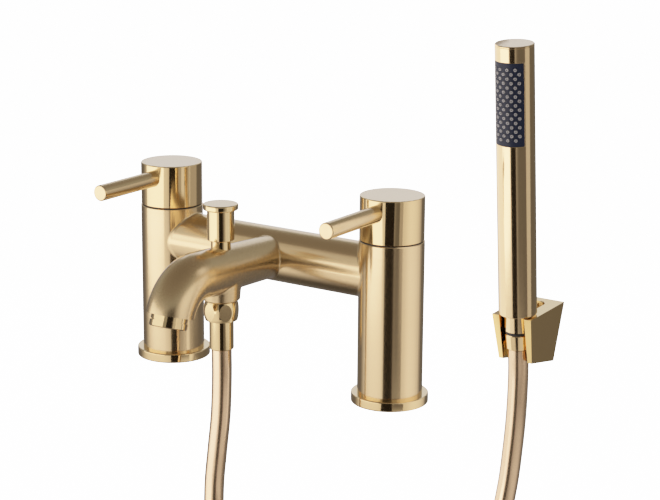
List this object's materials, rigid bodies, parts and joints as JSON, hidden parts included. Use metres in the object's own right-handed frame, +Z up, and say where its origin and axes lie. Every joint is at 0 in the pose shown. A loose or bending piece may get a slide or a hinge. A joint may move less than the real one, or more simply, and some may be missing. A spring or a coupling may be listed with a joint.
{
  "type": "bath shower mixer tap",
  "caption": "Deck-standing two-pillar bath and shower mixer with lever handles, spout, pull-up diverter, pencil handset on a hose and its wall bracket.",
  "frame": {"origin": "midway between the two threaded inlets, on the deck plane that the base flanges rest on", "axes": "+Z up, -Y towards the bather along the spout, +X towards the handset; the inlets open along -Z"},
  "size_m": [0.3018, 0.2009, 0.5084],
  "materials": {
    "brushed_brass": "fine brushed, satin",
    "bright_brass": "satin polished",
    "plain_brass": "machined",
    "black_rubber": "moulded",
    "black_nylon": "moulded",
    "white_ceramic": "lapped ceramic",
    "white_plastic": "moulded",
    "slate_plastic": "moulded satin",
    "grey_silicone": "moulded silicone",
    "steel": "machined",
    "hose_skin": "smooth satin metallic PVC"
  },
  "bodies": {
    "mixer": {"left_pillar": "brushed_brass", "right_pillar": "brushed_brass", "left_base_flange": "bright_brass", "right_base_flange": "bright_brass", "left_deck_seal": "black_rubber", "right_deck_seal": "black_rubber", "bridge_tube": "brushed_brass", "spout": "brushed_brass", "aerator_housing": "bright_brass", "aerator_insert": "white_plastic", "aerator_washer": "black_rubber", "left_cartridge": "plain_brass", "right_cartridge": "plain_brass", "left_seat_washer": "black_rubber", "right_seat_washer": "black_rubber", "left_fixed_disc": "white_ceramic", "right_fixed_disc": "white_ceramic", "left_glide_ring": "black_nylon", "right_glide_ring": "black_nylon", "diverter_body": "plain_brass", "diverter_bush": "bright_brass", "diverter_o_ring": "black_rubber", "outlet_nipple": "plain_brass", "hose_washer": "black_rubber", "hose_nut": "bright_brass", "hose_tail": "plain_brass", "crimp_sleeve": "bright_brass", "bracket": "bright_brass", "bracket_screws": "steel", "hose_mixer_run": "hose_skin", "hose_coil": "hose_skin", "hose_handset_run": "hose_skin", "hose_ties": "black_nylon"},
    "hot_handle": {"left_handle_cap": "brushed_brass", "left_lever": "brushed_brass", "left_grub_screw": "steel", "left_spindle": "plain_brass", "left_moving_disc": "white_ceramic"},
    "cold_handle": {"right_handle_cap": "brushed_brass", "right_lever": "brushed_brass", "right_grub_screw": "steel", "right_spindle": "plain_brass", "right_moving_disc": "white_ceramic"},
    "diverter": {"diverter_knob": "bright_brass", "diverter_spindle": "steel", "diverter_plug": "black_rubber"},
    "hose_end": {"hose_cone": "bright_brass", "swivel_seal": "black_rubber", "swivel_o_ring": "black_rubber"},
    "handset": {"handset_tube": "brushed_brass", "handset_end_cap": "brushed_brass", "end_cap_o_ring": "black_rubber", "handset_neck": "brushed_brass", "waterway_tube": "white_plastic", "spray_chamber": "white_plastic", "nozzle_mat": "grey_silicone", "nozzle_panel": "slate_plastic"}
  },
  "joints": [
    {"name": "hot_lever_turn", "type": "hinge", "parent": "mixer", "child": "hot_handle", "pos_m": [-0.09, 0, 0.1292], "axis": [0, 0, 1], "range_deg": [0, 90]},
    {"name": "cold_lever_turn", "type": "hinge", "parent": "mixer", "child": "cold_handle", "pos_m": [0.09, 0, 0.1292], "axis": [0, 0, 1], "range_deg": [-90, 0]},
    {"name": "diverter_lift", "type": "slide", "parent": "mixer", "child": "diverter", "axis": [0, 0, 1], "range_m": [0, 0.009]},
    {"name": "handset_lift", "type": "slide", "parent": "mixer", "child": "hose_end", "axis": [0, -0.0872, 0.9962], "range_m": [0, 0.06]},
    {"name": "handset_turn", "type": "hinge", "parent": "hose_end", "child": "handset", "pos_m": [0.1725, 0.02, 0.0686], "axis": [0, -0.0872, 0.9962], "continuous": true}
  ]
}
